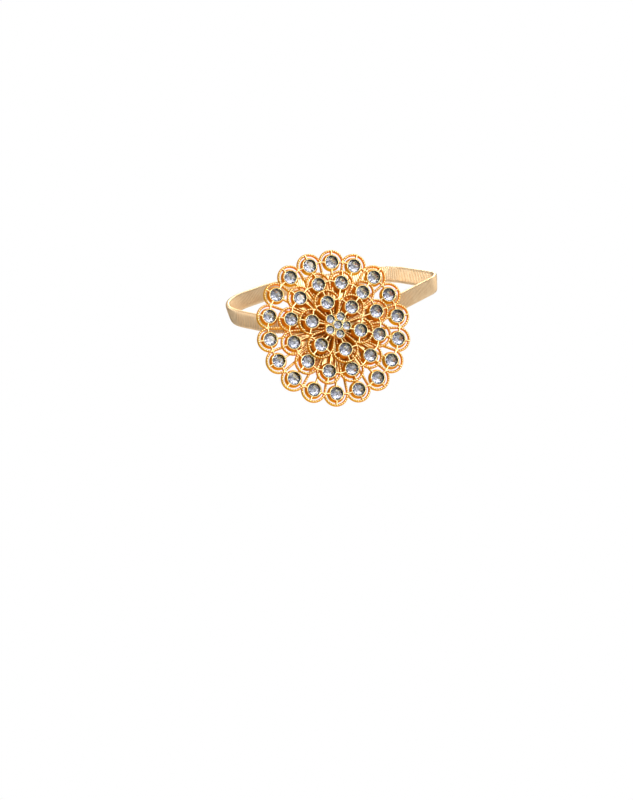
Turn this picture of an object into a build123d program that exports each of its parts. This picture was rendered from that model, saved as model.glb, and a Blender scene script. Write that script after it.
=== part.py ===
from build123d import *
import os
from math import atan2, cos, degrees, pi, radians, sin, sqrt, tan

# Curtain tieback: a cast filigree flower in three tiers, set with clear stones, on a flat
# coil-spring band that loops round the gathered cloth and hooks on a bar behind the flower.
# The origin is the middle of the loop, +Z is up along the cloth and the flower faces -Y.

# Petals of each tier, and how far the first one is turned clockwise from straight up
outer_petals = 18
outer_turn = 8.0
middle_petals = 12
middle_turn = -12.0
inner_petals = 6
inner_turn = -11.5
rosette_petals = 5
rosette_turn = 30.0

# Radii from the flower's axis to the middles of the stones
outer_ring = 30.9
middle_ring = 21.1
inner_ring = 11.6
rosette_ring = 4.25

# Filigree strips, spokes and the hubs on which the tiers are stacked
strip_width = 0.65
strip_height = 2.0
spoke_width = 0.6
hub_radius = 5.2
tier_height = 2.6
strip_sides = 12

# Stones and the cups that hold them
stone_size = 6.0
rosette_stone_size = 3.8
stone_sides = 10
table_share = 0.56
crown_share = 0.15
pavilion_share = 0.34
cup_rim = 0.45
cup_foot = 0.1
cup_flare = 0.3
glue_gap = 0.04
rosette_cup_rim = 0.25
rosette_cup_height = 2.6
rosette_centre_rise = 0.7
rosette_flange = 1.0

# Back plate and the screw that clamps the stack
plate_radius = 22.0
plate_sides = 36
plate_thickness = 1.0
boss_radius = 2.8
boss_sides = 6
boss_gap = 0.1
screw_radius = 1.5
screw_sides = 12
screw_length = 5.0
screw_head_radius = 2.7
screw_head_height = 1.5
screw_slot = 0.7
bore_clearance = 0.05

# Band: a close-wound flat coil spring, bent into a flattened loop that climbs towards the back.
# Flat runs in front and behind are joined by slanting runs, which meet in a bend at each side.
band_width = 8.0
band_thickness = 2.4
band_edge = 0.7
band_gap = 22.0
band_lift = 4.7
loop_half_depth = 30.0
loop_flat = 26.0
loop_reach = 51.7
front_bend = 17.0
back_bend = 30.0
side_bend = 7.2
bend_step = 17.0
loop_climb = 23.6
loop_lean = 9.9

# Ferrules crimped on the band's ends, and the bar that one of them hooks on
ferrule_wall = 0.6
ferrule_length = 7.0
ferrule_clearance = 0.15
ferrule_steps = 2
tab_width = 6.0
tab_length = 8.0
tab_root = 1.0
bar_width = 1.8
bar_thickness = 0.9
bar_leg = 0.9
bar_side_room = 0.8
hook_lip = 0.8
hook_reach = 0.8
hook_clearance = 0.2

# The flower's own plane: X across, Y up, Z towards the room, with its origin on the plate's back
ferrule_half = band_thickness / 2 + ferrule_clearance + ferrule_wall
climb_slope = tan(radians(loop_climb))
flower = Plane(
    origin=(
        -loop_lean,
        -loop_half_depth - ferrule_half,
        -loop_half_depth * climb_slope - band_lift,
    ),
    x_dir=(1, 0, 0),
    z_dir=(0, -1, 0),
)
outer_level = plate_thickness
middle_level = outer_level + tier_height
inner_level = middle_level + tier_height
rosette_level = inner_level + tier_height

os.makedirs("parts", exist_ok=True)


def finish(piece, name):
    """Label a finished piece and write it as its own file."""
    piece.label = name
    export_step(piece, f"parts/{name}.step")


def polar_start(turn):
    """Angle from the flower's X axis of a petal that is turned clockwise from straight up."""
    return 90 - turn


def frustum(low_radius, high_radius, height):
    """A many-sided block whose flat sides lean from the low radius to the high one."""
    lean = atan2((low_radius - high_radius) * cos(pi / stone_sides), height)
    with BuildPart() as block:
        with BuildSketch():
            RegularPolygon(low_radius, stone_sides, rotation=180 / stone_sides)
        extrude(amount=height, taper=degrees(lean))
    return block.part


def point(radius, depth):
    """A many-sided point that hangs below the origin, as on the back of a stone."""
    with BuildPart() as spike:
        with BuildSketch() as base:
            RegularPolygon(radius, stone_sides, rotation=180 / stone_sides)
        loft(sections=[base.sketch.face(), Vertex(0, 0, -depth)], ruled=True)
    return spike.part


def cut_stone(size):
    """A pointed-back stone with its widest line at the origin: a flat table, a crown and a point."""
    crown = frustum(size / 2, size / 2 * table_share, size * crown_share)
    pavilion = point(size / 2, size * pavilion_share)
    with BuildPart() as stone:
        add(crown)
        add(pavilion)
    return stone.part


def stone_seat(size):
    """The pointed hollow that takes a stone and its line of glue."""
    return point(size / 2 + glue_gap, size * pavilion_share + glue_gap)


def petal_opening(count, ring):
    """Outline of the opening in one petal, along X: a round head and straight sides to the hub."""
    half_turn = pi / count
    opening = ring * sin(half_turn) - strip_width / 2
    reach = pi / 2 + half_turn
    steps = round(strip_sides * reach / pi)
    angles = [reach * (2 * step / steps - 1) for step in range(steps + 1)]
    head = [(ring + opening * cos(a), opening * sin(a)) for a in angles]
    hub_half = hub_radius * tan(half_turn) - strip_width / 2 / cos(half_turn)
    return head + [(hub_radius, hub_half), (hub_radius, -hub_half)]


def filigree_tier(level, count, ring, turn):
    """One cast tier: touching petal loops with shared ribs, a cup on spokes in each, and a hub."""
    head = ring * sin(pi / count)
    cup_radius = stone_size / 2 + cup_rim
    cup = frustum(cup_radius + cup_flare, cup_radius, tier_height - cup_foot)
    seat = stone_seat(stone_size)
    opening = petal_opening(count, ring)
    with BuildPart(flower.offset(level)) as tier:
        with BuildSketch(flower.offset(level + tier_height - strip_height)):
            RegularPolygon(ring * cos(pi / count), count, rotation=polar_start(turn) + 180 / count)
            with PolarLocations(ring, count, polar_start(turn)):
                RegularPolygon(head + strip_width / 2, strip_sides)
            with PolarLocations(0, count, polar_start(turn)):
                Polygon(*opening, align=None, mode=Mode.SUBTRACT)
            with PolarLocations(ring, count, polar_start(turn)):
                Rectangle(spoke_width, 2 * head)
            with PolarLocations((ring + head + hub_radius) / 2, count, polar_start(turn)):
                Rectangle(ring + head - hub_radius, spoke_width)
        extrude(amount=strip_height)
        with BuildSketch(flower.offset(level)):
            RegularPolygon(hub_radius, count, major_radius=False, rotation=polar_start(turn) + 180 / count)
        extrude(amount=tier_height - strip_height)
        with Locations((0, 0, cup_foot)):
            with PolarLocations(ring, count, polar_start(turn)):
                add(cup)
        with Locations((0, 0, tier_height)):
            with PolarLocations(ring, count, polar_start(turn)):
                add(seat, mode=Mode.SUBTRACT)
        with BuildSketch(flower.offset(level)):
            RegularPolygon(boss_radius + bore_clearance, boss_sides)
        extrude(amount=tier_height, mode=Mode.SUBTRACT)
    return tier.part


def set_stones(tier_name, size, level, ring, count, turn):
    """The stones of one ring, each a piece of its own, numbered clockwise from the top."""
    stone_shape = cut_stone(size)
    for number in range(count):
        with BuildPart(flower.offset(level)) as stone:
            with PolarLocations(ring, 1, polar_start(turn) - 360 * number / count):
                add(stone_shape)
        finish(stone.part, f"{tier_name}_stone_{number + 1:02d}")


finish(filigree_tier(outer_level, outer_petals, outer_ring, outer_turn), "outer_tier")
finish(filigree_tier(middle_level, middle_petals, middle_ring, middle_turn), "middle_tier")
finish(filigree_tier(inner_level, inner_petals, inner_ring, inner_turn), "inner_tier")

# Rosette: six small cups on a flange, with a six-sided boss that keys the tiers and takes the screw
boss_length = 3 * tier_height - boss_gap
rosette_cup_radius = rosette_stone_size / 2 + rosette_cup_rim
centre_cup_height = rosette_cup_height + rosette_centre_rise
rosette_cup = frustum(rosette_cup_radius, rosette_cup_radius, rosette_cup_height)
centre_cup = frustum(rosette_cup_radius, rosette_cup_radius, centre_cup_height)
rosette_seat = stone_seat(rosette_stone_size)
with BuildPart(flower.offset(rosette_level)) as rosette:
    with BuildSketch(flower.offset(rosette_level)):
        RegularPolygon(rosette_ring, 2 * rosette_petals)
    extrude(amount=rosette_flange)
    with PolarLocations(rosette_ring, rosette_petals, polar_start(rosette_turn)):
        add(rosette_cup)
    with PolarLocations(0, 1, polar_start(rosette_turn)):
        add(centre_cup)
    with Locations((0, 0, rosette_cup_height)):
        with PolarLocations(rosette_ring, rosette_petals, polar_start(rosette_turn)):
            add(rosette_seat, mode=Mode.SUBTRACT)
    with Locations((0, 0, centre_cup_height)):
        with PolarLocations(0, 1, polar_start(rosette_turn)):
            add(rosette_seat, mode=Mode.SUBTRACT)
    with BuildSketch(flower.offset(rosette_level)):
        RegularPolygon(boss_radius, boss_sides)
        RegularPolygon(screw_radius + bore_clearance, screw_sides, mode=Mode.SUBTRACT)
    extrude(amount=-boss_length)
finish(rosette.part, "rosette")

set_stones("outer", stone_size, middle_level, outer_ring, outer_petals, outer_turn)
set_stones("middle", stone_size, inner_level, middle_ring, middle_petals, middle_turn)
set_stones("inner", stone_size, rosette_level, inner_ring, inner_petals, inner_turn)
rosette_top = rosette_level + rosette_cup_height
centre_top = rosette_level + centre_cup_height
set_stones("rosette", rosette_stone_size, rosette_top, rosette_ring, rosette_petals, rosette_turn)
set_stones("centre", rosette_stone_size, centre_top, 0, 1, rosette_turn)


# The band's middle line seen from above, from the hooked end round the back to the fixed end
with BuildLine() as loop_plan:
    FilletPolyline(
        (band_gap / 2, -loop_half_depth),
        (loop_flat, -loop_half_depth),
        (loop_reach, 0),
        (loop_flat, loop_half_depth),
        (-loop_flat, loop_half_depth),
        (-loop_reach, 0),
        (-loop_flat, -loop_half_depth),
        (-band_gap / 2, -loop_half_depth),
        radius=(front_bend, side_bend, back_bend, back_bend, side_bend, front_bend),
    )
band_line = loop_plan.wire()


def slanted(spot):
    """A spot or direction of the plan on the hanging loop, which climbs and leans as it goes back."""
    return Vector(spot.X + loop_lean * spot.Y / loop_half_depth, spot.Y, spot.Y * climb_slope)


def across_band(place):
    """The plane square to the band at a distance along its plan, with X through the thickness."""
    spot = slanted(band_line.position_at(place, position_mode=PositionMode.LENGTH))
    along = slanted(band_line.tangent_at(place, position_mode=PositionMode.LENGTH))
    return Plane(spot, x_dir=Vector(0, 0, 1).cross(along), z_dir=along)


def band_stations():
    """Distances along the band's plan: the ends of the straight runs, and even steps round the bends."""
    places = [0.0]
    for run in band_line.order_edges():
        bend = degrees(run.length / run.radius) if run.geom_type == GeomType.CIRCLE else 0
        steps = 1 + int(bend / bend_step)
        places += [places[-1] + run.length * (step + 1) / steps for step in range(steps)]
    return places


def band_run(places, grow):
    """A stretch of the band's flat section with its edges taken off, grown all round."""
    edge = band_edge + grow * (2 - sqrt(2))
    with BuildPart() as run:
        for place in places:
            with BuildSketch(across_band(place)) as section:
                Rectangle(band_thickness + 2 * grow, band_width + 2 * grow)
                chamfer(section.vertices(), edge)
        loft(ruled=True)
    return run.part


# Stretches of the band that lie inside the ferrules
hook_places = [ferrule_length * step / ferrule_steps for step in range(ferrule_steps + 1)]
fixed_places = [band_line.length - place for place in reversed(hook_places)]

# Places behind the flower, measured across and up from its axis and back from the plate
fixed_tab_x = -band_gap / 2 + (tab_length - tab_root) / 2
hook_end = band_gap / 2 - tab_length
bar_x = hook_end + hook_lip + hook_clearance + bar_width / 2
bar_leg_y = tab_width / 2 + bar_side_room + bar_leg / 2
hook_back = 2 * ferrule_half
bar_back = hook_back - ferrule_wall - hook_clearance
leg_places = [(bar_x, band_lift + side * bar_leg_y) for side in (-1, 1)]

# Back plate: a stamped disc, pierced for the screw and the legs of the bar
with BuildPart(flower) as back_plate:
    with BuildSketch(flower):
        RegularPolygon(plate_radius, plate_sides)
        RegularPolygon(screw_radius + bore_clearance, screw_sides, mode=Mode.SUBTRACT)
        with Locations(*leg_places):
            Rectangle(bar_width + 2 * bore_clearance, bar_leg + 2 * bore_clearance, mode=Mode.SUBTRACT)
    extrude(amount=plate_thickness)
finish(back_plate.part, "back_plate")

# Screw from behind, with a slotted head, clamping the plate and the tiers to the rosette
with BuildPart(flower) as centre_screw:
    with BuildSketch(flower):
        RegularPolygon(screw_radius, screw_sides)
    extrude(amount=plate_thickness + screw_length)
    with BuildSketch(flower):
        RegularPolygon(screw_head_radius, screw_sides)
    extrude(amount=-screw_head_height)
    with BuildSketch(flower.offset(-screw_head_height)):
        Rectangle(2 * screw_head_radius, screw_slot)
    extrude(amount=screw_slot, mode=Mode.SUBTRACT)
finish(centre_screw.part, "centre_screw")

# Band, from the hook's end round the back to the fixed end
finish(band_run(band_stations(), 0), "band")


def ferrule_sleeve(places):
    """The crimped sleeve round one end of the band."""
    outside = band_run(places, ferrule_clearance + ferrule_wall)
    inside = band_run(places, ferrule_clearance)
    with BuildPart() as sleeve:
        add(outside)
        add(inside, mode=Mode.SUBTRACT)
    return sleeve.part


# Fixed ferrule: the sleeve's front wall runs on as a tab that is soldered to the plate
fixed_sleeve = ferrule_sleeve(fixed_places)
with BuildPart() as fixed_ferrule:
    add(fixed_sleeve)
    with BuildSketch(flower.offset(-ferrule_wall)):
        with Locations((fixed_tab_x, band_lift)):
            Rectangle(tab_length + tab_root, tab_width)
    extrude(amount=ferrule_wall)
finish(fixed_ferrule.part, "fixed_ferrule")

# Hook ferrule: the sleeve's back wall runs on as a tab, turned down behind the bar as a lip
hook_sleeve = ferrule_sleeve(hook_places)
with BuildPart() as hook_ferrule:
    add(hook_sleeve)
    with BuildSketch(flower.offset(-hook_back)):
        with Locations((hook_end + (tab_length + tab_root) / 2, band_lift)):
            Rectangle(tab_length + tab_root, tab_width)
    extrude(amount=ferrule_wall)
    with BuildSketch(flower.offset(-hook_back)):
        with Locations((hook_end + hook_lip / 2, band_lift)):
            Rectangle(hook_lip, tab_width)
    extrude(amount=ferrule_wall + hook_clearance + bar_thickness + hook_reach)
finish(hook_ferrule.part, "hook_ferrule")

# Bar: a staple whose legs are pressed into the plate, on which the hook ferrule catches
with BuildPart() as hook_bar:
    with BuildSketch(flower.offset(-bar_back)):
        with Locations((bar_x, band_lift)):
            Rectangle(bar_width, 2 * bar_leg_y + bar_leg)
    extrude(amount=bar_thickness)
    with BuildSketch(flower.offset(-bar_back)):
        with Locations(*leg_places):
            Rectangle(bar_width, bar_leg)
    extrude(amount=bar_back + plate_thickness)
finish(hook_bar.part, "hook_bar")
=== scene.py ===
import bpy
import numpy as np
from mathutils import Matrix, Vector


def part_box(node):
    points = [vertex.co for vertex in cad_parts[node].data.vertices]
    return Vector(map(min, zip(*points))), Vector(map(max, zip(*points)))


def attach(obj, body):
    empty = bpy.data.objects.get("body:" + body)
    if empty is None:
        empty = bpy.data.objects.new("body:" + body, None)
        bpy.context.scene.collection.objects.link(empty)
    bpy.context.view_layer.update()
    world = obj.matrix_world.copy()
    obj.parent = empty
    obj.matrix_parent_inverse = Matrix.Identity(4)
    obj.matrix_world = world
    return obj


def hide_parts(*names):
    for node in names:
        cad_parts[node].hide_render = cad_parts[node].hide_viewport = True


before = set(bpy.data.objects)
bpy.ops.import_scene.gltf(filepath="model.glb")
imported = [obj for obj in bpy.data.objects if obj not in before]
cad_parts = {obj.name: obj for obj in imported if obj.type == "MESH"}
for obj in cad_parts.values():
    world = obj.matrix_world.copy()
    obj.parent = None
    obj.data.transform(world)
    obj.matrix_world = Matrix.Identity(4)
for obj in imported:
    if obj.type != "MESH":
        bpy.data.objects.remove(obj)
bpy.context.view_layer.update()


# Back plate: a round disc stamped from sheet brass, polished bright and plated pale gold. It closes the
# flower's back, and its rim is eased. The tiers are clamped on its front.
mm = 0.001
plate_rim = 0.25 * mm
plate_bore = 1.55 * mm
round_steps = 96
shade_cloud = 3.5 * mm
polish_cloud = 0.9 * mm
grain_size = 0.25 * mm
grain_depth = 0.05 * mm
plate_low, plate_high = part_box("back_plate")
plate_radius = (plate_high.x - plate_low.x) / 2
plate_thickness = plate_high.y - plate_low.y
flower_x = (plate_high.x + plate_low.x) / 2
flower_z = (plate_high.z + plate_low.z) / 2


def flower_place(points):
    """Points given across, up and out from the plate's back, moved to where the flower hangs: out is -Y."""
    across, up, out = np.moveaxis(points, -1, 0)
    return np.stack([flower_x + across, plate_high.y - out, flower_z + up], axis=-1)


def inside_out(points, quads):
    """Whether a shell's faces point inwards: the sum of corner . (corner x corner) is then negative."""
    corners = points - points.mean(axis=0)
    a, b, c, d = (corners[quads[:, k]] for k in range(4))
    return np.sum(a * np.cross(b, c)) + np.sum(a * np.cross(c, d)) < 0


def grid_shell(grid, loop_rows=False):
    """A closed shell over a grid of points whose rows are rings: a face for each cell, and a flat cap on
    each end row unless the rows close up too. Each point also keeps its height, which is measured from its
    shell's top edge."""
    rows, columns = grid.shape[:2]
    row = np.arange(rows if loop_rows else rows - 1)[:, None]
    column = np.arange(columns)[None, :]
    next_row, next_column = (row + 1) % rows, (column + 1) % columns
    corners = [
        row * columns + column,
        row * columns + next_column,
        next_row * columns + next_column,
        next_row * columns + column,
    ]
    quads = np.stack(np.broadcast_arrays(*corners), axis=-1).reshape(-1, 4)
    first = np.arange(columns)
    caps = [] if loop_rows else [first[::-1], first + (rows - 1) * columns]
    points = grid.reshape(-1, 3)
    step = -1 if inside_out(points, quads) else 1
    faces = quads[:, ::step].tolist() + [cap[::step].tolist() for cap in caps]
    return points, faces, points[:, 2]


def lathe(profile, steps=round_steps, centre=(0.0, 0.0)):
    """A closed outline of (radius, height) pairs turned about an axis: across = r cos t, up = r sin t and
    out = h."""
    radius, height = np.asarray(profile, float).T
    turn = np.linspace(0, 2 * np.pi, steps, endpoint=False)[:, None]
    across = centre[0] + radius * np.cos(turn)
    up = centre[1] + radius * np.sin(turn)
    grid = np.stack([across, up, np.broadcast_to(height, across.shape)], axis=-1)
    return grid_shell(grid, loop_rows=True)


def build_piece(name, shells, finishes, replaced, crease=40.0, place=flower_place):
    """One piece from closed shells, smooth up to a crease angle. It rides on the part and stands for its
    solids."""
    starts = np.cumsum([0] + [len(points) for points, _, _ in shells])
    points = place(np.concatenate([points for points, _, _ in shells]))
    faces = [
        [corner + start for corner in face]
        for (_, shell_faces, _), start in zip(shells, starts)
        for face in shell_faces
    ]
    heights = np.concatenate([height for _, _, height in shells]).astype(np.float32)
    mesh = bpy.data.meshes.new(name)
    mesh.from_pydata(points, [], faces)
    mesh.attributes.new("height", "FLOAT", "POINT").data.foreach_set("value", heights)
    mesh.shade_smooth()
    mesh.set_sharp_from_angle(angle=np.radians(crease))
    for finish in finishes:
        mesh.materials.append(finish)
    piece = bpy.data.objects.new(name, mesh)
    bpy.context.scene.collection.objects.link(piece)
    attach(piece, "root")
    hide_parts(*replaced)
    return piece


class Value:
    """A shader value: an operator on it adds a Math node."""

    def __init__(self, finish, socket):
        self.finish = finish
        self.socket = socket

    def maths(self, operation, first, second):
        """A Math node on two values or numbers."""
        return self.finish.node("Math", {"operation": operation}, {0: first, 1: second})

    def __add__(self, other):
        return self.maths("ADD", self, other)

    def __radd__(self, other):
        return self.maths("ADD", other, self)

    def __sub__(self, other):
        return self.maths("SUBTRACT", self, other)

    def __rsub__(self, other):
        return self.maths("SUBTRACT", other, self)

    def __mul__(self, other):
        return self.maths("MULTIPLY", self, other)

    def __rmul__(self, other):
        return self.maths("MULTIPLY", other, self)


class Finish:
    """The nodes of a material or of the room, added one at a time."""

    def __init__(self, owner):
        self.owner = owner
        owner.use_nodes = True
        self.tree = owner.node_tree
        self.tree.nodes.clear()

    def node(self, kind, settings, sockets, output=0):
        """A node of a kind, with its settings and then its sockets' values or links. One of its outputs
        comes back."""
        made = self.tree.nodes.new("ShaderNode" + kind)
        for name, value in settings.items():
            setattr(made, name, value)
        for name, value in sockets.items():
            if isinstance(value, Value):
                self.tree.links.new(value.socket, made.inputs[name])
            else:
                made.inputs[name].default_value = value
        return Value(self, made.outputs[output]) if made.outputs else None

    def mixed(self, share, first, second):
        """A colour between two colours."""
        return self.node("Mix", {"data_type": "RGBA"}, {0: share, 6: first, 7: second}, output=2)

    def noise(self, size, detail=2.0):
        """Cloudy noise from 0 to 1, with clouds of a given size on the piece."""
        place = self.node("TexCoord", {}, {}, output="Object")
        return self.node("TexNoise", {}, {"Vector": place, "Scale": 1 / size, "Detail": detail})

    def surface(self, shader, output="OutputMaterial"):
        """The material or room, with a shader on its surface."""
        self.node(output, {}, {"Surface": shader})
        return self.owner


def gold(red, green, blue):
    """A metal's colour, opaque."""
    return (red, green, blue, 1.0)


def plated(name, deep, pale, polish, unevenness, grain, crest_light_and_polish=None):
    """Plated metal: two shades blended in clouds, a polish that varies from place to place and a fine grain.
    Crest light and polish, where it is given, paints highlight and shade into the colour, changes the
    roughness and says how metallic the surface is."""
    finish = Finish(bpy.data.materials.new(name))
    roughness = polish + unevenness * finish.noise(polish_cloud)
    metallic = 1.0
    colour = finish.mixed(finish.noise(shade_cloud, detail=4.0), deep, pale)
    if crest_light_and_polish:
        colour, roughness, metallic = crest_light_and_polish(finish, colour, roughness)
    tooth = finish.noise(grain_size, detail=3.0)
    sockets = {
        "Base Color": colour,
        "Metallic": metallic,
        "Roughness": roughness,
        "Specular IOR Level": 0.1,
        "Specular Tint": pale,
        "Normal": finish.node("Bump", {}, {"Strength": grain, "Distance": grain_depth, "Height": tooth}),
    }
    return finish.surface(finish.node("BsdfPrincipled", {}, sockets))


plate_finish = plated(
    "polished_plate",
    deep=gold(0.97, 0.66, 0.27),
    pale=gold(0.99, 0.76, 0.38),
    polish=0.14,
    unevenness=0.12,
    grain=0.10,
)
plate_outline = [
    (plate_bore, 0.0),
    (plate_radius - plate_rim, 0.0),
    (plate_radius, plate_rim),
    (plate_radius, plate_thickness - plate_rim),
    (plate_radius - plate_rim, plate_thickness),
    (plate_bore, plate_thickness),
]
build_piece("plate", [lathe(plate_outline)], [plate_finish], ["back_plate"])


# Filigree tiers: three castings of touching petal loops, gold-plated, with painted highlight along their
# crests and painted shade on their flanks; the crests are also smoother.
# Each loop is an upright strip with a beaded crest, and carries a cup on four spokes. The tiers are stacked
# on their hubs.
strip_foot = 0.62 * mm
strip_depth = 2.0 * mm
bead_radius = 0.4 * mm
bead_pitch = 1.15 * mm
bead_groove = 0.7
bead_steps = 8
bead_start = np.radians(-40)
bead_corners = 8
spoke_half_width = 0.33 * mm
spoke_foot = 0.5 * mm
spoke_depth = 1.9 * mm
hub_radius = 5.2 * mm
hub_bore = 2.9 * mm
hub_edge = 0.3 * mm
stone_size = 6.0 * mm
seat_room = 0.04 * mm
seat_drop = 0.25 * mm
seat_floor = 0.03 * mm
cup_rim = 0.32 * mm
cup_flare = 0.83 * mm
cup_foot = 0.1 * mm
cup_eye = 0.01 * mm
cup_steps = 40
petal_step = 0.02 * mm
lip_steps = 7
half_round = np.linspace(0, np.pi, lip_steps)
# Painted highlight: the crests' pale colour stands in for the light they catch.
painted_crest_highlight = gold(1.0, 0.88, 0.42)
crest_depth = 0.22 * mm
crest_top = 0.2 * crest_depth
flank_dullness = 0.26
flank_metal = 0.75
back_shade = gold(0.95, 0.64, 0.28)
back_facing = (0.8, 0.95)


def ring_of(stones):
    """Radius and angles of a ring of stones about the flower's axis, measured from the solids."""
    boxes = [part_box(stone) for stone in stones]
    middles = np.array([(low + high) / 2 for low, high in boxes])
    across, up = middles[:, 0] - flower_x, middles[:, 2] - flower_z
    return np.hypot(across, up).mean(), np.arctan2(up, across)


def turned(shell, angle):
    """A shell turned about the flower's axis."""
    points, faces, heights = shell
    turn = np.array([[np.cos(angle), -np.sin(angle), 0], [np.sin(angle), np.cos(angle), 0], [0, 0, 1]])
    return points @ turn.T, faces, heights


def moved(shell, across=0.0, up=0.0, out=0.0):
    """A shell moved across, up and out along the flower's axis."""
    points, faces, heights = shell
    return points + np.array([across, up, out]), faces, heights


def beaded_strip(path):
    """An upright strip along a flat path. Its section is a leaning wall with a round crest, whose radius
    falls to a groove once in each pitch: r = bead_radius (1 - groove w^3), with
    w = (1 + cos(2 pi s / pitch)) / 2."""
    along = np.gradient(path, axis=0)
    along /= np.linalg.norm(along, axis=1)[:, None]
    side = np.stack([along[:, 1], -along[:, 0]], axis=1)
    travelled = np.concatenate([[0], np.cumsum(np.linalg.norm(np.diff(path, axis=0), axis=1))])
    angle = np.linspace(bead_start, np.pi - bead_start, bead_corners)
    wave = (1 + np.cos(2 * np.pi * travelled[:, None] / bead_pitch)) / 2
    radius = bead_radius * (1 - bead_groove * wave**3)
    crest_side, crest_height = radius * np.cos(angle), radius * np.sin(angle) - bead_radius
    foot = np.full((len(path), 1), strip_foot)
    level = np.full((len(path), 1), -strip_depth)
    sideways = np.concatenate([foot, crest_side, -foot], axis=1)
    height = np.concatenate([level, crest_height, level], axis=1)
    flat = path[:, None, :] + side[:, None, :] * sideways[..., None]
    return grid_shell(np.concatenate([flat, height[..., None]], axis=-1))


def petal_path(ring, head, half_turn):
    """The middle line of a rib and the loop after it: out along a radius, then round the petal's head."""
    contact = ring * np.cos(half_turn)
    step = bead_pitch / bead_steps
    rib = np.linspace(hub_radius - hub_edge, contact, round((contact - hub_radius) / step), endpoint=False)
    rib_line = rib[:, None] * np.array([np.cos(half_turn), -np.sin(half_turn)])
    sweep = np.pi / 2 + half_turn
    bend = np.linspace(-sweep, sweep, round(2 * sweep * head / step))
    head_line = np.stack([ring + head * np.cos(bend), head * np.sin(bend)], axis=1)
    return np.concatenate([rib_line, head_line])


def spoke(start, end):
    """A straight bar with a rounded top between two points, its top level with the strips."""
    start, end = np.asarray(start), np.asarray(end)
    along = (end - start) / np.linalg.norm(end - start)
    side = np.array([along[1], -along[0]])
    sideways = np.concatenate([[spoke_foot], spoke_half_width * np.cos(half_round), [-spoke_foot]])
    top = spoke_half_width * (np.sin(half_round) - 1)
    height = np.concatenate([[-spoke_depth], top, [-spoke_depth]])
    flat = np.stack([start, end])[:, None, :] + side * sideways[:, None]
    upright = np.broadcast_to(height[:, None], (2, len(height), 1))
    return grid_shell(np.concatenate([flat, upright], axis=-1))


def stone_cup(size, rim, flare, depth, centre):
    """A cup under a stone: a leaning outer wall, a rounded lip round the stone and a pointed seat inside,
    all one outline turned about the stone's axis."""
    seat = size / 2 + seat_room
    lip = rim / 2
    lip_line = np.stack([seat + lip + lip * np.cos(half_round), lip * np.sin(half_round)], axis=1)
    outline = [(cup_eye, -depth), (seat + rim + flare, -depth), *lip_line]
    outline += [(seat, -seat_drop), (cup_eye, seat_floor - depth)]
    return lathe(outline, cup_steps, centre)


def painted_crest_light(finish, colour, roughness):
    """Painted highlight on the crests: the colour is painted paler down to a depth below each shell's top
    edge. Below it the flanks keep the deeper orange as painted shade, and are rougher and less metallic. The
    flat back has a paler colour of its own."""
    height = finish.node("Attribute", {"attribute_name": "height"}, {}, output="Fac")
    crest_share = finish.node("MapRange", {}, {"Value": height, "From Min": -crest_depth, "From Max": -crest_top})
    normal = finish.node("TexCoord", {}, {}, output="Normal")
    facing = finish.node("SeparateXYZ", {}, {0: normal}, output="Y")
    start, full = back_facing
    behind = finish.node("MapRange", {}, {"Value": facing, "From Min": start, "From Max": full})
    # Painted highlight on the crests over the painted shade of the flanks; faces that look backwards take the
    # back's colour.
    colour = finish.mixed(behind, finish.mixed(crest_share, colour, painted_crest_highlight), back_shade)
    roughness = roughness + flank_dullness * (1.0 - crest_share)
    metallic = flank_metal + (1.0 - flank_metal) * crest_share
    return colour, roughness, metallic


# The flower's two oranges, blended in clouds, are deepened as painted shade for the recesses between the
# loops, and the crests are painted paler as painted highlight.
flower_finish = plated(
    "flower_gold_painted_light",
    deep=gold(0.93, 0.40, 0.012),
    pale=gold(0.98, 0.51, 0.028),
    polish=0.10,
    unevenness=0.12,
    grain=0.25,
    crest_light_and_polish=painted_crest_light,
)


def filigree_tier(name, node, stones):
    """One casting: a rib, loop, cup and four spokes for each stone, and the hub."""
    ring, angles = ring_of(stones)
    half_turn = np.pi / len(stones)
    head = ring * np.sin(half_turn)
    low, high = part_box(node)
    height = high.y - low.y
    cup = stone_size / 2 + cup_rim / 2
    petal = [
        beaded_strip(petal_path(ring, head, half_turn)),
        stone_cup(stone_size, cup_rim, cup_flare, height - cup_foot, (ring, 0.0)),
        spoke((ring + cup, 0), (ring + head, 0)),
        spoke((hub_radius - hub_edge, 0), (ring - cup, 0)),
        spoke((ring, cup), (ring, head)),
        spoke((ring, -head), (ring, -cup)),
    ]
    hub_outline = [
        (hub_bore, 0.0),
        (hub_bore, -height),
        (hub_radius, -height),
        (hub_radius, -hub_edge),
        (hub_radius - hub_edge, 0.0),
    ]
    shells = [lathe(hub_outline)]
    for number, angle in enumerate(angles):
        shells += [moved(turned(shell, angle), out=-petal_step * (number % 2)) for shell in petal]
    shells = [moved(shell, out=plate_high.y - low.y) for shell in shells]
    build_piece(name, shells, [flower_finish], [node])


tiers = {}
for tier_name in ("outer", "middle", "inner"):
    tiers[tier_name] = sorted(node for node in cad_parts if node.startswith(tier_name + "_stone"))
    filigree_tier(tier_name + "_filigree", tier_name + "_tier", tiers[tier_name])


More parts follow.
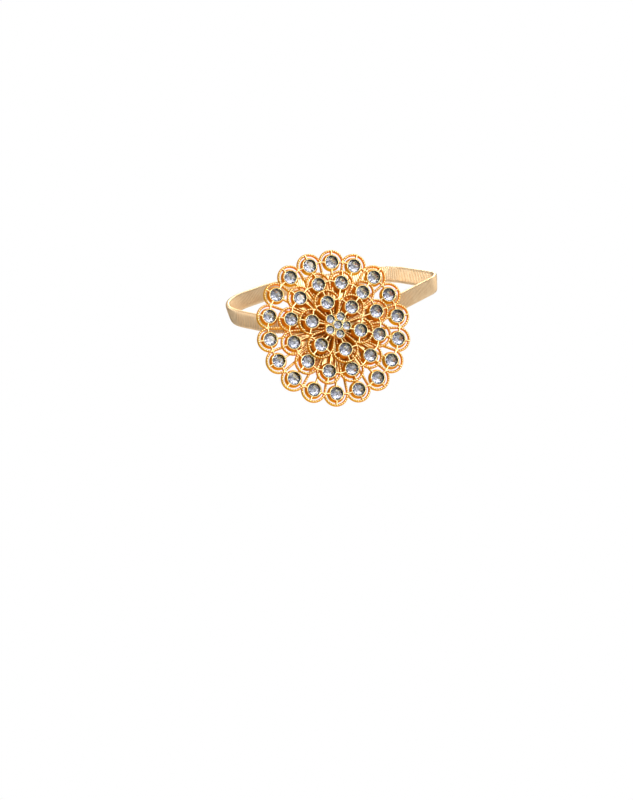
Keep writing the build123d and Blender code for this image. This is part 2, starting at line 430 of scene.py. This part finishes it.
# Rosette: six small cups cast together on a flange, with claws between them, gold-plated like the tiers.
# Its boss runs down through the hubs, and a screw from behind holds it there.
rosette_stone_size = 3.8 * mm
crown_share = 0.15
rosette_rim = 0.25 * mm
rosette_flange = 1.0 * mm
boss_radius = 2.6 * mm
claw_radius = 0.42 * mm
claw_length = 1.2 * mm
claw_rise = 0.15 * mm
claw_reaches = (0.62, 1.12)
claw_steps = 16
claw_rings = 6
claw_cap = 0.98 * np.pi / 2
small_stones = sorted(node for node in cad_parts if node.startswith("rosette_stone"))
rosette_ring, rosette_angles = ring_of(small_stones)
small_top = plate_high.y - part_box(small_stones[0])[0].y - crown_share * rosette_stone_size
centre_top = plate_high.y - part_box("centre_stone_01")[0].y - crown_share * rosette_stone_size
flange_level = plate_high.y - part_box("inner_tier")[0].y
boss_foot = plate_high.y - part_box("rosette")[1].y


def claw(centre):
    """A small round-topped claw: a stem with half a ball on it, r = R cos t and h = R sin t."""
    quarter = np.linspace(0, claw_cap, claw_rings)
    dome = claw_radius * np.stack([np.cos(quarter), np.sin(quarter)], axis=1)
    eye = dome[-1, 0]
    return lathe([(eye, -claw_length), (claw_radius, -claw_length), *dome], claw_steps, centre)


def small_cup(centre, top):
    """A straight cup for a small stone, standing on the flange."""
    return moved(stone_cup(rosette_stone_size, rosette_rim, 0.0, top - flange_level, centre), out=top)


rosette_shells = [small_cup((0.0, 0.0), centre_top)]
for angle in rosette_angles:
    spot = (rosette_ring * np.cos(angle), rosette_ring * np.sin(angle))
    rosette_shells.append(small_cup(spot, small_top))
    between = angle + np.pi / len(rosette_angles)
    for reach in claw_reaches:
        spot = (reach * rosette_ring * np.cos(between), reach * rosette_ring * np.sin(between))
        rosette_shells.append(moved(claw(spot), out=small_top + claw_rise))
rosette_outline = [
    (plate_bore, boss_foot),
    (boss_radius, boss_foot),
    (boss_radius, flange_level),
    (rosette_ring, flange_level),
    (rosette_ring, flange_level + rosette_flange),
    (plate_bore, flange_level + rosette_flange),
]
rosette_shells.append(lathe(rosette_outline))
build_piece("rosette_cups", rosette_shells, [flower_finish], ["rosette"])


# Stones: clear pointed-back glass with a brilliant cut, silvered behind like all foil-backed stones, and
# glued in the cups. A large one is 6 mm across and a small one about 4 mm.
table_share = 0.56
girdle_share = 0.015
pavilion_share = 0.37
tail_share = 0.25
stone_spin = 2.4
stone_tilt = np.radians(4.0)
tilt_turn = 1.7
glass_tints = ((0.94, 0.93, 0.93, 1.0), (0.98, 0.98, 0.98, 1.0))
glass_cloud = 2.0 * mm
foil_tints = ((0.31, 0.315, 0.35, 1.0), (0.54, 0.55, 0.60, 1.0))
foil_cloud = 0.6 * mm


def brilliant(size):
    """The facets of a brilliant cut with eight mains, between rings of corners at eighth and sixteenth turns:
    the table, the crown's middle line, the girdle's two edges, the pavilion's middle line and the point."""
    radius = size / 2
    eighth = np.arange(8) * np.pi / 4
    sixteenth = np.arange(16) * np.pi / 8
    middle = eighth + np.pi / 8

    def ring(reach, height, angles):
        level = np.full(len(angles), height)
        return np.stack([reach * np.cos(angles), reach * np.sin(angles), level], axis=1)

    crown, girdle, point = crown_share * size, girdle_share * size, -pavilion_share * size
    crown_reach = radius * (table_share + 1) / 2 / np.cos(np.pi / 8)
    rings = [
        ring(radius * table_share, crown, eighth),
        ring(crown_reach, (crown + girdle) / 2, middle),
        ring(radius, girdle, sixteenth),
        ring(radius, 0.0, sixteenth),
        ring(radius * tail_share / np.cos(np.pi / 8), (1 - tail_share) * point, middle),
        np.array([[0.0, 0.0, point]]),
    ]
    points = np.concatenate(rings)
    table, kite, upper, lower, tail, tip = np.cumsum([0] + [len(corners) for corners in rings])[:-1]
    main = np.arange(8)
    after, before = (main + 1) % 8, (main - 1) % 8
    half = np.arange(16)
    half_after = (half + 1) % 16
    crown_faces = [(table + main).tolist()]
    crown_faces += np.stack([table + main, kite + main, table + after], axis=1).tolist()
    crown_faces += np.stack([table + main, kite + before, upper + 2 * main, kite + main], axis=1).tolist()
    crown_faces += np.stack([kite + half // 2, upper + half, upper + half_after], axis=1).tolist()
    girdle_corners = [upper + half, lower + half, lower + half_after, upper + half_after]
    crown_faces += np.stack(girdle_corners, axis=1).tolist()
    back_faces = np.stack([tail + half // 2, lower + half_after, lower + half], axis=1).tolist()
    back_faces += np.stack([tip + 0 * main, tail + main, lower + 2 * main, tail + before], axis=1).tolist()
    return points, crown_faces, back_faces


def glass_finish():
    """Clear glass with the faintest smoky tint."""
    finish = Finish(bpy.data.materials.new("clear_glass"))
    tint = finish.mixed(finish.noise(glass_cloud), *glass_tints)
    sockets = {"Base Color": tint, "Roughness": 0.0, "IOR": 1.55, "Transmission Weight": 1.0}
    return finish.surface(finish.node("BsdfPrincipled", {}, sockets))


def foil_finish():
    """Silvering behind the glass, a little uneven."""
    finish = Finish(bpy.data.materials.new("stone_foil"))
    tint = finish.mixed(finish.noise(foil_cloud), *foil_tints)
    sockets = {"Base Color": tint, "Metallic": 1.0, "Roughness": 0.0}
    return finish.surface(finish.node("BsdfPrincipled", {}, sockets))


stone_finishes = [glass_finish(), foil_finish()]


def tilted(points, toward):
    """Points tipped by the stones' small tilt, which lowers the side that lies at an angle: out falls by tilt
    times the reach towards it."""
    reach = points[:, 0] * np.cos(toward) + points[:, 1] * np.sin(toward)
    return points - np.outer(stone_tilt * reach, np.array([0, 0, 1]))


def set_stone(node, size):
    """A cut stone where its solid is, turned and tipped a little differently from stone to stone."""
    low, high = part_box(node)
    points, crown_faces, back_faces = brilliant(size)
    number = int(node[-2:])
    points = tilted(points, tilt_turn * number**2)
    stone = turned((points, crown_faces + back_faces, points[:, 2]), stone_spin * number)
    stone = moved(
        stone,
        across=(low.x + high.x) / 2 - flower_x,
        up=(low.z + high.z) / 2 - flower_z,
        out=plate_high.y - low.y - crown_share * size,
    )
    piece = build_piece(node + "_cut", [stone], stone_finishes, [node], crease=1.0)
    finish_of_face = np.repeat([0, 1], [len(crown_faces), len(back_faces)])
    piece.data.polygons.foreach_set("material_index", finish_of_face)


for stones in tiers.values():
    for node in stones:
        set_stone(node, stone_size)
for node in small_stones + ["centre_stone_01"]:
    set_stone(node, rosette_stone_size)


# Band: a spring of thin wire, close-wound round a flat core, so that it can stretch and bend. It is plated a
# satin champagne gold and runs in a flattened loop from one ferrule to the other. Its two ends hang
# unevenly, each bent, lifted and rolled in its own way.
band_width = 8.0 * mm
band_thickness = 2.4 * mm
coil_pitch = 1.05 * mm
wire_half_width = 0.54 * mm
wire_half_thickness = 0.4 * mm
wire_sides = 8
turn_steps = 28
winding_power = 4
loop_half_depth = 30.0 * mm
loop_flat = 26.0 * mm
right_reach = 54.2 * mm
left_reach = 60.0 * mm
front_bend = 17.0 * mm
back_bend = 30.0 * mm
right_bend = 8.0 * mm
left_bend = 20.0 * mm
bend_steps = 60
loop_slope = np.tan(np.radians(23.6))
loop_lean = 9.9 * mm
band_gap = 22.0 * mm
right_lift = 1.3 * mm
left_lift = 2.6 * mm
lift_start = 14.0 * mm
right_roll = np.radians(10.0)
left_roll = np.radians(-12.0)


def unit(vectors):
    """Vectors of length 1."""
    return vectors / np.linalg.norm(vectors, axis=-1, keepdims=True)


def rounded_line(corners, bends):
    """Straight runs joined by arcs: an arc of radius r touches both runs at r / tan(half angle) from their
    corner, and its middle lies at r / sin(half angle) along the line that halves the corner."""
    corners = np.asarray(corners)
    bends = np.asarray(bends)[:, None]
    back, onward = unit(corners[:-2] - corners[1:-1]), unit(corners[2:] - corners[1:-1])
    half_angle = np.arccos(np.sum(back * onward, axis=1, keepdims=True)) / 2
    middle = corners[1:-1] + unit(back + onward) * bends / np.sin(half_angle)
    first = corners[1:-1] + back * bends / np.tan(half_angle) - middle
    start = np.arctan2(first[:, 1:], first[:, :1])
    angle = start + (np.pi - 2 * half_angle) * np.linspace(0, 1, bend_steps)
    arcs = middle[:, None, :] + bends[..., None] * np.stack([np.cos(angle), np.sin(angle)], axis=-1)
    return np.concatenate([corners[:1], arcs.reshape(-1, 2), corners[-1:]])


def loop_line():
    """The band's middle line, from the hooked end round the back: it climbs and leans as it goes back, and is
    lifted more and more towards its two ends."""
    corners = [
        (band_gap / 2, -loop_half_depth),
        (loop_flat, -loop_half_depth),
        (right_reach, 0.0),
        (loop_flat, loop_half_depth),
        (-loop_flat, loop_half_depth),
        (-left_reach, 0.0),
        (-loop_flat, -loop_half_depth),
        (-band_gap / 2, -loop_half_depth),
    ]
    bends = [front_bend, right_bend, back_bend, back_bend, left_bend, front_bend]
    across, back = rounded_line(corners, bends).T
    lift_places = [-left_reach, -lift_start, lift_start, right_reach]
    lift = np.interp(across, lift_places, [left_lift, 0.0, 0.0, right_lift])
    leaning = across + loop_lean * back / loop_half_depth
    return np.stack([leaning, back, loop_slope * back + lift], axis=-1)


def flattened(wave):
    """A wave from -1 to 1 with flat tops, for an oval of a high power."""
    return np.sign(wave) * np.abs(wave) ** (2 / winding_power)


def coil_spring():
    """Wire wound round a flat core that follows the loop and rolls towards its ends. The winding is an oval
    of power 4 in the band's section, one turn in each pitch, and the wire is a small oval carried along it."""
    line = loop_line()
    travelled = np.concatenate([[0], np.cumsum(np.linalg.norm(np.diff(line, axis=0), axis=1))])
    turns = round(travelled[-1] / coil_pitch)
    place = np.linspace(0, travelled[-1], turns * turn_steps + 1)
    middle = np.stack([np.interp(place, travelled, line[:, axis]) for axis in range(3)], axis=1)
    along = unit(np.gradient(middle, axis=0))
    roll = np.interp(middle[:, 0], [-left_reach, right_reach], [left_roll, right_roll])
    upright = np.stack([np.sin(roll), np.zeros(len(roll)), np.cos(roll)], axis=1)
    inward = unit(np.cross(upright, along))
    upward = np.cross(along, inward)
    angle = 2 * np.pi * np.arange(len(place)) / turn_steps
    through = (band_thickness / 2 - wire_half_thickness) * flattened(np.cos(angle))
    height = (band_width / 2 - wire_half_thickness) * flattened(np.sin(angle))
    wire = middle + inward * through[:, None] + upward * height[:, None]
    run = unit(np.gradient(wire, axis=0))
    first = unit(along - run * np.sum(along * run, axis=1)[:, None])
    second = np.cross(run, first)
    around = np.linspace(0, 2 * np.pi, wire_sides, endpoint=False)[None, :, None]
    wide = first[:, None, :] * wire_half_width * np.cos(around)
    thick = second[:, None, :] * wire_half_thickness * np.sin(around)
    return grid_shell(wire[:, None, :] + (wide + thick))


band_finish = plated(
    "satin_champagne",
    deep=gold(0.85, 0.585, 0.32),
    pale=gold(0.98, 0.78, 0.53),
    polish=0.24,
    unevenness=0.14,
    grain=0.2,
)
build_piece(
    "spring_band", [coil_spring()], [band_finish], ["band"], place=lambda points: points
)


# Fittings behind the flower: two ferrules of folded brass sheet crimped on the band's ends, the staple that
# one of them hooks on, and the slotted steel screw that clamps the stack.
fitting_finish = plated(
    "satin_fittings",
    deep=gold(0.80, 0.56, 0.26),
    pale=gold(0.88, 0.66, 0.36),
    polish=0.22,
    unevenness=0.12,
    grain=0.15,
)
screw_finish = plated(
    "zinc_screw",
    deep=gold(0.55, 0.54, 0.52),
    pale=gold(0.66, 0.65, 0.62),
    polish=0.22,
    unevenness=0.14,
    grain=0.2,
)
for node, finish in (
    ("fixed_ferrule", fitting_finish),
    ("hook_ferrule", fitting_finish),
    ("hook_bar", fitting_finish),
    ("centre_screw", screw_finish),
):
    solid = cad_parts[node]
    solid.data.materials.clear()
    solid.data.materials.append(finish)


# Studio: a pale floor under the hanging piece, a white card behind it, soft boxes round it and a grey room.
# The camera stands where the photograph's did, a little low and to the left, and is rolled as the band
# hangs.
floor_level = -0.42
floor_half = 2.0
floor_paper = (0.86, 0.86, 0.86, 1.0)
card_paper = (0.9, 0.9, 0.9, 1.0)
card_white = (1.0, 1.0, 1.0, 1.0)
card_low = np.array([-0.5, 1.15, floor_level])
card_high = np.array([1.0, 1.15, 0.9])
room_low = 0.15
room_high = 0.68
room_bright_side = (0.1, -0.8, 0.59)
photo_width = 633
photo_height = 800
flower_pixel = (334.3, 327.5)
pixel_size = 0.4645 * mm
view_turn = np.radians(-12.905)
view_rise = np.radians(-5.753)
view_roll = np.radians(10.0)
view_distance = 1.5
sensor_side = 36.0


def stage_sheet(name, corners, finish):
    """A flat sheet of the studio."""
    mesh = bpy.data.meshes.new(name)
    mesh.from_pydata(corners, [], [[0, 1, 2, 3]])
    mesh.materials.append(finish)
    sheet = bpy.data.objects.new(name, mesh)
    bpy.context.scene.collection.objects.link(sheet)


def floor_finish():
    """Matt pale paper."""
    finish = Finish(bpy.data.materials.new("pale_floor"))
    return finish.surface(finish.node("BsdfDiffuse", {}, {"Color": floor_paper}))


def card_finish():
    """White paper that is seen as white, directly, in metal and through glass, and lights nothing else."""
    finish = Finish(bpy.data.materials.new("white_card"))
    kinds = ("Is Camera Ray", "Is Glossy Ray", "Is Transmission Ray")
    seen, mirrored, through = (finish.node("LightPath", {}, {}, output=kind) for kind in kinds)
    paper = finish.node("BsdfDiffuse", {}, {"Color": card_paper})
    white = finish.node("Emission", {}, {"Color": card_white, "Strength": 1.0})
    return finish.surface(finish.node("MixShader", {}, {0: seen + mirrored + through, 1: paper, 2: white}))


def room_light():
    """A grey room that is paler in front and overhead than behind and below."""
    room = Finish(bpy.data.worlds.new("grey_room"))
    direction = room.node("TexCoord", {}, {}, output="Generated")
    sides = {0: direction, 1: room_bright_side}
    facing = room.node("VectorMath", {"operation": "DOT_PRODUCT"}, sides, output="Value")
    span = {"Value": facing, "From Min": -1.0, "From Max": 1.0, "To Min": room_low, "To Max": room_high}
    strength = room.node("MapRange", {}, span)
    return room.surface(room.node("Background", {}, {"Strength": strength}), "OutputWorld")


def soft_box(name, place, size, power):
    """A square lamp at a place, facing the flower."""
    lamp = bpy.data.lights.new(name, "AREA")
    lamp.size = size
    lamp.energy = power
    holder = bpy.data.objects.new(name, lamp)
    aim = Vector((flower_x, plate_low.y, flower_z)) - Vector(place)
    holder.matrix_world = Matrix.Translation(place) @ aim.to_track_quat("-Z", "Y").to_matrix().to_4x4()
    holder.visible_camera = False
    bpy.context.scene.collection.objects.link(holder)


floor_corners = floor_half * np.array([(-1, -1), (1, -1), (1, 1), (-1, 1)])
stage_sheet("floor", [(*corner, floor_level) for corner in floor_corners], floor_finish())
card_corners = [card_low, (card_high[0], *card_low[1:]), card_high, (card_low[0], *card_high[1:])]
stage_sheet("card", card_corners, card_finish())
soft_box("front_box", place=(-0.09, -1.06, 0.25), size=0.36, power=2.8)
soft_box("fill_box", place=(0.26, -1.2, 0.13), size=0.7, power=3.3)
soft_box("key_box", place=(-0.45, -0.65, 0.8), size=0.35, power=3.2)
soft_box("rim_box", place=(0.4, 0.5, 0.8), size=0.5, power=5.0)
soft_box("left_box", place=(-0.95, -0.1, 0.25), size=0.6, power=1.6)
soft_box("right_box", place=(0.9, 0.36, 0.12), size=0.6, power=1.3)
bpy.context.scene.world = room_light()

sin_turn, cos_turn, cos_rise = np.sin(view_turn), np.cos(view_turn), np.cos(view_rise)
to_viewer = np.array([sin_turn * cos_rise, -cos_turn * cos_rise, np.sin(view_rise)])
level_right = np.array([cos_turn, sin_turn, 0.0])
level_up = np.cross(to_viewer, level_right)
view_right = level_right * np.cos(view_roll) - level_up * np.sin(view_roll)
view_up = level_up * np.cos(view_roll) + level_right * np.sin(view_roll)
frame_middle = (
    np.array([flower_x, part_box("outer_tier")[0].y, flower_z])
    + view_right * (photo_width / 2 - flower_pixel[0]) * pixel_size
    - view_up * (photo_height / 2 - flower_pixel[1]) * pixel_size
)
camera = bpy.data.cameras.new("camera")
camera.sensor_width = sensor_side
camera.lens = sensor_side * view_distance / (photo_height * pixel_size)
viewer = bpy.data.objects.new("camera", camera)
turn_matrix = Matrix(np.stack([view_right, view_up, to_viewer], axis=1).tolist()).to_4x4()
viewer.matrix_world = Matrix.Translation(frame_middle + to_viewer * view_distance) @ turn_matrix
bpy.context.scene.collection.objects.link(viewer)
bpy.context.scene.camera = viewer
bpy.context.scene.view_settings.view_transform = "Standard"
